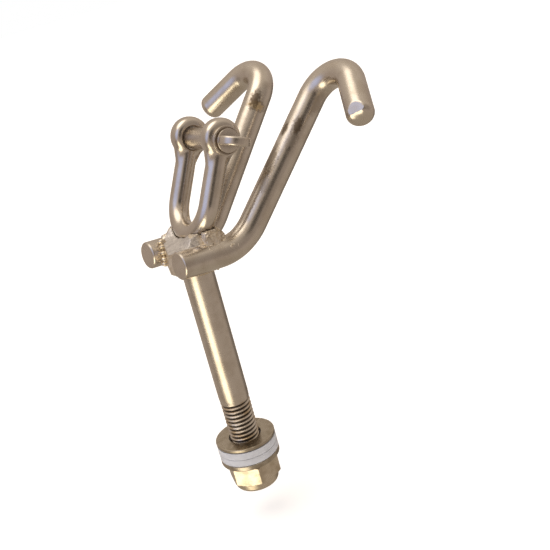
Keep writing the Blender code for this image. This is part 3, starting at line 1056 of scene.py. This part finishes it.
# the weld between rods, stud and shackle
mound = {
    "webHalfWidth": 0.0105,
    "webHalfHeight": 0.0045,
    "webFront": 0.0129,
    "webBack": 0.0100,
    "recessStart": 0.0053,
    "recessAngle": radians(24),
    "faceLow": (-0.0130, 0.0032),      # the ground face, as (along, up) points between the rods
    "faceHigh": (-0.0031, 0.0068),
    # it climbs to each leg by its rise, over a range across and a range along
    "rightRise": (0.0038, (0.0015, 0.0105), (-0.0092, -0.0028)),
    "leftRise": (0.0026, (0.0062, 0.0105), (-0.0060, -0.0015)),
    "leftDip": (0.0008, (-0.0010, 0.0025)),
    "frontRise": (0.0019, (0.0055, 0.0125), (-0.0130, -0.0070)),
    # it falls away to each rod: height there, how far out the fall starts, how steep it is
    "rightFlank": (0.0052, 0.0121, 1.6),
    "leftFlank": (0.0051, 0.0142, 320),
    "overRod": (0.0070, 0.00012),      # from here to the right it stays this far proud of the rod
    "faceEnd": -0.0012,
    "webTop": 0.0015,
    # the saddle under the bow, as (along, up) points from back to front, and how far it runs to each side
    "saddle": ((0.0104, 0), (0.0102, 0.0042), (0.0076, 0.0062), (0.0040, 0.0080), (-0.0020, 0.0090)),
    "saddleFront": 0.0064,
    "saddleSides": (-0.0098, 0.0122),
    # weld built up against the legs and over the rods: centre and half sizes
    "shoulders": (
        ((0.0104, 0.0020, 0.0046), (0.0040, 0.0066, 0.0060)),
        ((0.0096, 0.0080, 0.0030), (0.0036, 0.0046, 0.0026)),
        ((-0.0101, 0.0012, 0.0042), (0.0036, 0.0052, 0.0056)),
        ((-0.0122, -0.0022, 0.0036), (0.0030, 0.0050, 0.0028)),
    ),
    "hide": 0.00015,                   # how far the stubs lie inside the real rods
    "voxel": 0.00026,
    "softening": 11,
    "crack": 0.00030,
    "crackWander": 0.00055,
    # painted shade beside the shackle's bar: full up to the start, gone by the reach, measured from the
    # bar's skin
    "barShadeReach": 0.0009,
    "barShadeStart": 0.0002,
    "lumps": 0.00036,                  # height and spread of the coarse lumps, then of the fine ones
    "lumpSpread": 620,
    "fineLumps": 0.00013,
    "fineSpread": 1900,
    "calm": 0.12,                      # share of the lumps that the filed part keeps
    "wildAcross": (0.0085, 0.0105),    # where the untouched weld begins, on the right and behind
    "wildAlong": (-0.0045, -0.0015),
    "wildBehind": (0.0005, 0.0040),
    "wildUp": (0.0010, 0.0030),
    "stubStart": 0.0006,
    "studStub": (-0.0105, -0.0020),
    "rippleCentre": (0.0040, -0.0010, 0.0100),
}


def ellipsoid(name, centre, radii):
    shape = bmesh.new()
    bmesh.ops.create_icosphere(shape, subdivisions=4, radius=1)
    piece = fromShape(name, shape)
    piece.data.transform(Matrix.Translation(centre) @ Matrix.Diagonal((*radii, 1)))
    return piece


def block(name, outline, low, high):
    # an outline of (along, up) points, extruded across from low to high
    shape = bmesh.new()
    near = [shape.verts.new((low, y, z)) for y, z in outline]
    shape.faces.new(near)
    grownFaces = bmesh.ops.extrude_face_region(shape, geom=shape.faces[:])
    moved = [item for item in grownFaces["geom"] if isinstance(item, bmesh.types.BMVert)]
    bmesh.ops.translate(shape, vec=(high - low, 0, 0), verts=moved)
    bmesh.ops.recalc_face_normals(shape, faces=shape.faces)
    return fromShape(name, shape)


def moundStubs():
    # short lengths of the rods and the stud, a hair thinner than the real ones, that the weld runs out to
    toRods = rodsFrame.inverted()
    thin = layout["rodRadius"] - mound["hide"]
    stubs = []
    for path in (rightPath, leftPath):
        start = path[0] + (path[1] - path[0]).normalized() * mound["stubStart"]
        points = [toRods @ point for point in (start, *path[1 : 2 + horn["bendSteps"] // 2])]
        stubs.append(barOn(points, thin, "rodStub", 48))
    line = [toRods @ Vector((0, 0, layout["rodHeight"] + end)) for end in mound["studStub"]]
    stubs.append(barOn(line, stud["radius"] - mound["hide"], "studStub", 48))
    return stubs


def shapeMound():
    half = mound["webHalfHeight"]
    front, back = -mound["webFront"], mound["webBack"]
    wide = mound["webHalfWidth"]
    web = block("webBlank", [(front, -half), (back, -half), (back, half), (front, half)], -wide, wide)
    outline = [(front, 0), *mound["saddle"], (front, mound["saddleFront"])]
    saddle = block("saddleBlank", outline, *mound["saddleSides"])
    shoulders = [ellipsoid("shoulder", centre, radii) for centre, radii in mound["shoulders"]]
    return fuse([web, saddle, *shoulders, *moundStubs()], "moundSkin", mound["voxel"], mound["softening"])


def faceHeight(x, y):
    # the ground face's height; it climbs in front of each leg and meets the rods' tops at both sides
    (lowY, lowZ), (highY, highZ) = mound["faceLow"], mound["faceHigh"]
    plane = lowZ + (y - lowY) * (highZ - lowZ) / (highY - lowY)
    rise, across, along = mound["rightRise"]
    right = rise * smoothStep(x, *across) * smoothStep(y, *along)
    rise, across, along = mound["leftRise"]
    left = rise * smoothStep(-x, *across) * smoothStep(y, *along)
    depth, across = mound["leftDip"]
    dip = depth * smoothStep(-x, *across)
    rise, across, along = mound["frontRise"]
    front = smoothStep(x, *across) * (1 - smoothStep(y, *along)) * rise
    level, start, fall = mound["rightFlank"]
    rightFlank = level + max(start - x, 0) * fall
    level, start, fall = mound["leftFlank"]
    leftFlank = level + max(x + start, 0) ** 2 * fall
    height = min(plane + right + left - dip + front, rightFlank, leftFlank)
    start, proud = mound["overRod"]
    if x > start:
        aside = layout["rodSpacing"] / 2 - x
        height = max(height, sqrt(max(layout["rodRadius"] ** 2 - aside**2, 0)) + proud)
    return height


def pathTree(points):
    tree = kdtree.KDTree(len(points))
    for i, point in enumerate(points):
        tree.insert(point, i)
    tree.balance()
    return tree


def carveMound(piece):
    mesh = piece.data
    count = len(mesh.vertices)
    ground = [0.0] * count
    rough = [0.0] * count
    barShade = [0.0] * count
    toRods = rodsFrame.inverted()
    bar = pathTree([toRods @ point for point in bowPath(300)])
    normals = [vertex.normal.copy() for vertex in mesh.vertices]
    for i, vertex in enumerate(mesh.vertices):
        x, y, z = vertex.co
        isTop = z > mound["webTop"]
        # lumps of weld behind and to the right
        wild = smoothStep(x, *mound["wildAcross"]) * smoothStep(y, *mound["wildAlong"])
        wild = max(wild, smoothStep(y, *mound["wildBehind"])) * smoothStep(z, *mound["wildUp"])
        rough[i] = wild
        lump = noise.fractal(Vector((x, y, z)) * mound["lumpSpread"], 0.9, 2.1, 4) * mound["lumps"]
        fine = noise.noise(Vector((x, y, z)) * mound["fineSpread"]) * mound["fineLumps"]
        vertex.co += normals[i] * (lump + fine) * (mound["calm"] + (1 - mound["calm"]) * wild)
        x, y, z = vertex.co
        limit = faceHeight(x, y)
        if isTop and y < mound["faceEnd"] and z > limit:
            vertex.co.z = limit
            ground[i] = 1 - wild
        # the cut-back left of the front
        edge = -mound["webFront"] + max(mound["recessStart"] - x, 0) * tan(mound["recessAngle"])
        if vertex.co.y < edge:
            vertex.co.y = edge
        # painted shade near the shackle's bar, kept as an attribute for the material
        away = bar.find(vertex.co)[2] - shackle["bar"]
        barShade[i] = 1 - smoothStep(away, mound["barShadeStart"], mound["barShadeReach"])
    for label, values in (("groundFace", ground), ("roughWeld", rough), ("crackShade", barShade)):
        layer = mesh.attributes.new(label, "FLOAT", "POINT")
        layer.data.foreach_set("value", values)
    return piece


def bowTrough():
    # the shackle's bar, with a wandering clearance that leaves the dark crack
    toRods = rodsFrame.inverted()
    path = [toRods @ point for point in bowPath(90)]
    bar = barOn(path, shackle["bar"], "troughCutter", 64)
    for vertex in bar.data.vertices:
        wander = noise.fractal(vertex.co * 1000, 0.8, 2, 3)
        clearance = mound["crack"] + mound["crackWander"] * wander
        vertex.co += vertex.normal * max(clearance, 0.00008)
    return bar


def moundFinish():
    look, tree, shader = newFinish("weldedSteel")
    place = addNode(tree, "ShaderNodeTexCoord").outputs["Object"]
    ground = attribute(tree, "groundFace")
    rough = attribute(tree, "roughWeld")
    centre = tuple(rodsFrame @ Vector(mound["rippleCentre"]))
    crescents = {"Vector": place, "Centre": centre, "Spacing": 0.0005, "Wander": 0.0016}
    ripple = fillEffect(tree, "ripple", crescents)["Height"]
    strokes = noiseOver(tree, place, (4200, 900, 900), 3)
    grain = fillEffect(tree, "grain", {"Vector": place, "Scratches": 0.3, "Mottle": 1.1})
    tone = patinaOver(tree, place, (0.90, 0.83, 0.73, 1), (0.56, 0.45, 0.30, 1), 0.0024, 0.7)
    stroke = mapRange(tree, strokes, 0.35, 0.65, 0, 1)
    filed = mixColour(tree, stroke, (0.50, 0.47, 0.45, 1), (0.82, 0.78, 0.74, 1))
    colour = mixColour(tree, ground, tone["Color"], filed)
    grit = times(tree, mapRange(tree, grain["Height"], 0.1, 0.5, 0, 0.7), rough)
    colour = mixColour(tree, grit, colour, steelTones["dark"])
    # painted shade along the crack by the shackle's bar, given a ragged edge
    ragged = mapRange(tree, noiseOver(tree, place, 1500, 3), 0.3, 0.7, -0.5, 0.5)
    shadeAlongCrack = plus(tree, attribute(tree, "crackShade"), ragged)
    colour = mixColour(tree, mapRange(tree, shadeAlongCrack, 0.45, 1.0, 0, 0.9), colour, steelTones["dark"])
    rough = plus(tree, mapRange(tree, ground, 0, 1, 0.34, 0.5), grain["Roughness"])
    waves, filing = times(tree, ripple, 0.5), times(tree, strokes, 0.6)
    height = plus(tree, waves, filing, times(tree, grain["Height"], 1.2))
    paint(tree, shader, colour, rough, height, 0.00009, 0.8)
    return look


weldLook = moundFinish()
beadLook = platedFinish("weldBeadSteel", 1.2)


def makeMound():
    skin = carveMound(shapeMound())
    piece = cut(skin, bowTrough(), "weldMound", weldLook)
    piece.data.transform(rodsFrame)
    smoothShade(piece, 48)
    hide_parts("web", "saddle_weld", "stud_fillet")
    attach(piece, "fitting")


makeMound()
print("weld mound made")

beads = {
    "radius": 0.0011,
    "spacing": 0.0011,
    "flatten": 0.65,
    "jitter": 0.2,
    "coarse": 1.6,                     # the front bead's lumps are this much further apart
    "swell": 1.3,                      # and this much bigger
    "gap": 0.0003,
    "sink": 0.0004,                    # how far the beads under the web sink into it
    "underStart": -0.0045,
    "rearHeight": 0.0015,
    "frontSink": 0.0006,
    "frontStart": -30,                 # the front bead climbs round the left rod, in degrees
    "frontTurn": 78,
    "voxel": 0.00016,
}


def makeBeadTree():
    tree, given, result = newGeometryTree(
        "weldBead",
        {
            "Radius": 0.0011, "Spacing": 0.0007, "Flatten": 0.55, "Jitter": 0.14, "Seed": 1,
            "Material": "Material",
        },
    )
    line = addNode(tree, "GeometryNodeMeshToCurve", {"Mesh": given["Geometry"]})
    spaced = {"Curve": line.outputs[0], "Length": given["Spacing"]}
    points = addNode(tree, "GeometryNodeCurveToPoints", spaced, mode="LENGTH")
    drop = addNode(tree, "GeometryNodeMeshIcoSphere", {"Radius": given["Radius"], "Subdivisions": 3})
    size = addNode(tree, "FunctionNodeRandomValue", {"Seed": given["Seed"]}, data_type="FLOAT")
    put(tree, minus(tree, 1, given["Jitter"]), size.inputs[2])
    put(tree, plus(tree, 1, given["Jitter"]), size.inputs[3])
    thin = times(tree, size.outputs[1], given["Flatten"])
    scale = addNode(tree, "ShaderNodeCombineXYZ", {"X": size.outputs[1], "Y": size.outputs[1], "Z": thin})
    placed = {"Points": points.outputs[0], "Instance": drop.outputs[0], "Scale": scale.outputs[0]}
    drops = addNode(tree, "GeometryNodeInstanceOnPoints", placed)
    put(tree, points.outputs["Rotation"], drops.inputs["Rotation"])
    return finishTree(tree, drops.outputs[0], given["Material"], result)


def beadPaths():
    # in the rods' frame: both corners under the web, across its back, and up the left front corner
    gap, radius = beads["gap"], beads["radius"]
    under = -mound["webHalfHeight"] - gap
    clear = layout["rodRadius"] + gap + radius
    low = under - radius + beads["sink"]
    beside = layout["rodSpacing"] / 2 - sqrt(clear**2 - (under - radius) ** 2)
    back = mound["webBack"] + radius * 0.6
    half = layout["rodSpacing"] / 2 - clear
    start, end, rear = beads["underStart"], horn["bendStart"], beads["rearHeight"]
    paths = {
        "under_bead_right": [(beside, start, low), (beside, end, low)],
        "under_bead_left": [(-beside, start, low), (-beside, end, low)],
        "rear_bead": [(-half, back, rear), (half, back, rear)],
    }
    corner = []
    for i in range(9):
        turn = radians(beads["frontStart"] + beads["frontTurn"] * i / 8)
        x = -layout["rodSpacing"] / 2 + (clear - gap) * cos(turn)
        y = -mound["webFront"] + (mound["recessStart"] - x) * tan(mound["recessAngle"]) - beads["frontSink"]
        corner.append((x, y, (clear - gap) * sin(turn)))
    paths["front_bead"] = corner
    return paths


def makeBeads():
    tree = makeBeadTree()
    for seed, (node, points) in enumerate(beadPaths().items()):
        source = polyline(node + "Path", points)
        isFront = node == "front_bead"
        values = {
            "Radius": beads["radius"] * (beads["swell"] if isFront else 1),
            "Spacing": beads["spacing"] * (beads["coarse"] if isFront else 1),
            "Flatten": beads["flatten"],
            "Jitter": beads["jitter"],
            "Seed": seed,
            "Material": beadLook,
        }
        drops = grown(source, tree, values, node + "Drops")
        piece = fuse([drops], "weld" + node.title().replace("_", ""), beads["voxel"], 2, beadLook)
        piece.data.transform(rodsFrame)
        smoothShade(piece, 60)
        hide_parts(node)
        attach(piece, "fitting")


makeBeads()
print("beads made")


# floor, light and camera
studio = {
    "floorReach": 3.0,
    "floorDrop": 0.0130,       # below the stud, so the nut clears the floor when it is run down
    "floorTone": (0.93, 0.93, 0.93, 1),
}


def makeFloor():
    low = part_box("pivot_stud")[0][2] - studio["floorDrop"]
    reach = studio["floorReach"]
    shape = bmesh.new()
    bmesh.ops.create_grid(shape, x_segments=1, y_segments=1, size=reach)
    floor = fromShape("paleFloor", shape)
    floor.data.transform(Matrix.Translation((0, 0, low)))
    look, _, shader = newFinish("paleFloor")
    shader.inputs["Base Color"].default_value = studio["floorTone"]
    shader.inputs["Roughness"].default_value = 0.9
    shader.inputs["Specular IOR Level"].default_value = 0
    shader.inputs["Emission Color"].default_value = (1, 1, 1, 1)
    shader.inputs["Emission Strength"].default_value = 0.5
    floor.data.materials.append(look)
    floor.visible_glossy = False
    floor.visible_shadow = False


# soft lamps round the object: where (bearing and height in degrees), colour, brightness,
# and the half angles where each is full and gone
lamps = {
    "overheadKey": (-120, 76, (1.0, 0.93, 0.82), 1.7, 12, 34),
    "coolWindow": (-86, 28, (0.22, 0.43, 1.0), 0.66, 9, 34),
    "lowReflector": (-70, -27, (1.0, 0.91, 0.68), 2.4, 10, 25),
}
# darker patches, the same way, with how much each takes away
shades = {
    "openSide": (-22, 20, 0.82, 7, 26),
    "lowBack": (108, -25, 0.55, 8, 28),
    "rightSide": (18, 18, 0.3, 16, 42),
    "lowLeft": (-115, -14, 0.35, 4, 18),
}
ambient = {"above": (0.66, 0.58, 0.49), "level": (0.47, 0.395, 0.34), "below": (0.42, 0.36, 0.29)}


def patch(tree, direction, turn, rise, inner, outer, away, within):
    # one value inside the inner half angle round a bearing, another outside the outer one
    turn, rise = radians(turn), radians(rise)
    middle = (cos(rise) * cos(turn), cos(rise) * sin(turn), sin(rise))
    facing = vectorCalc(tree, "DOT_PRODUCT", direction, middle)
    return mapRange(tree, facing, cos(radians(outer)), cos(radians(inner)), away, within, True)


def makeWorld():
    world = bpy.data.worlds.new("softStudio")
    bpy.context.scene.world = world
    world.use_nodes = True
    tree = world.node_tree
    background = tree.nodes["Background"]
    direction = addNode(tree, "ShaderNodeTexCoord").outputs["Generated"]
    height = addNode(tree, "ShaderNodeSeparateXYZ", {0: direction}).outputs[2]
    above, level, below = ((*ambient[key], 1) for key in ("above", "level", "below"))
    colour = mixColour(tree, mapRange(tree, height, 0, 1, 0, 1, True), level, above)
    colour = mixColour(tree, mapRange(tree, height, 0, -1, 0, 1, True), colour, below)
    for turn, rise, depth, inner, outer in shades.values():
        keep = patch(tree, direction, turn, rise, inner, outer, 1, 1 - depth)
        colour = vectorCalc(tree, "SCALE", colour, keep)
    for turn, rise, tint, strength, inner, outer in lamps.values():
        glow = patch(tree, direction, turn, rise, inner, outer, 0, strength)
        colour = mixColour(tree, 1.0, colour, vectorCalc(tree, "SCALE", tint, glow), "ADD")
    path = addNode(tree, "ShaderNodeLightPath")
    seen = mixColour(tree, path.outputs["Is Camera Ray"], colour, (1, 1, 1, 1))
    put(tree, seen, background.inputs["Color"])


viewpoint = {
    "lens": 62.593,
    "sensor": 36,
    "nearest": 0.01,
    "place": (0.299614, -0.154410, 0.192003),
    "turn": (1.19239, 0.23490, 0.92082),
}


def makeCamera():
    data = bpy.data.cameras.new("viewpoint")
    data.lens = viewpoint["lens"]
    data.sensor_width = viewpoint["sensor"]
    data.clip_start = viewpoint["nearest"]
    camera = bpy.data.objects.new("viewpoint", data)
    bpy.context.scene.collection.objects.link(camera)
    camera.location = viewpoint["place"]
    camera.rotation_euler = viewpoint["turn"]
    bpy.context.scene.camera = camera


makeFloor()
makeWorld()
makeCamera()
bpy.context.scene.view_settings.view_transform = "Standard"
print("studio made")
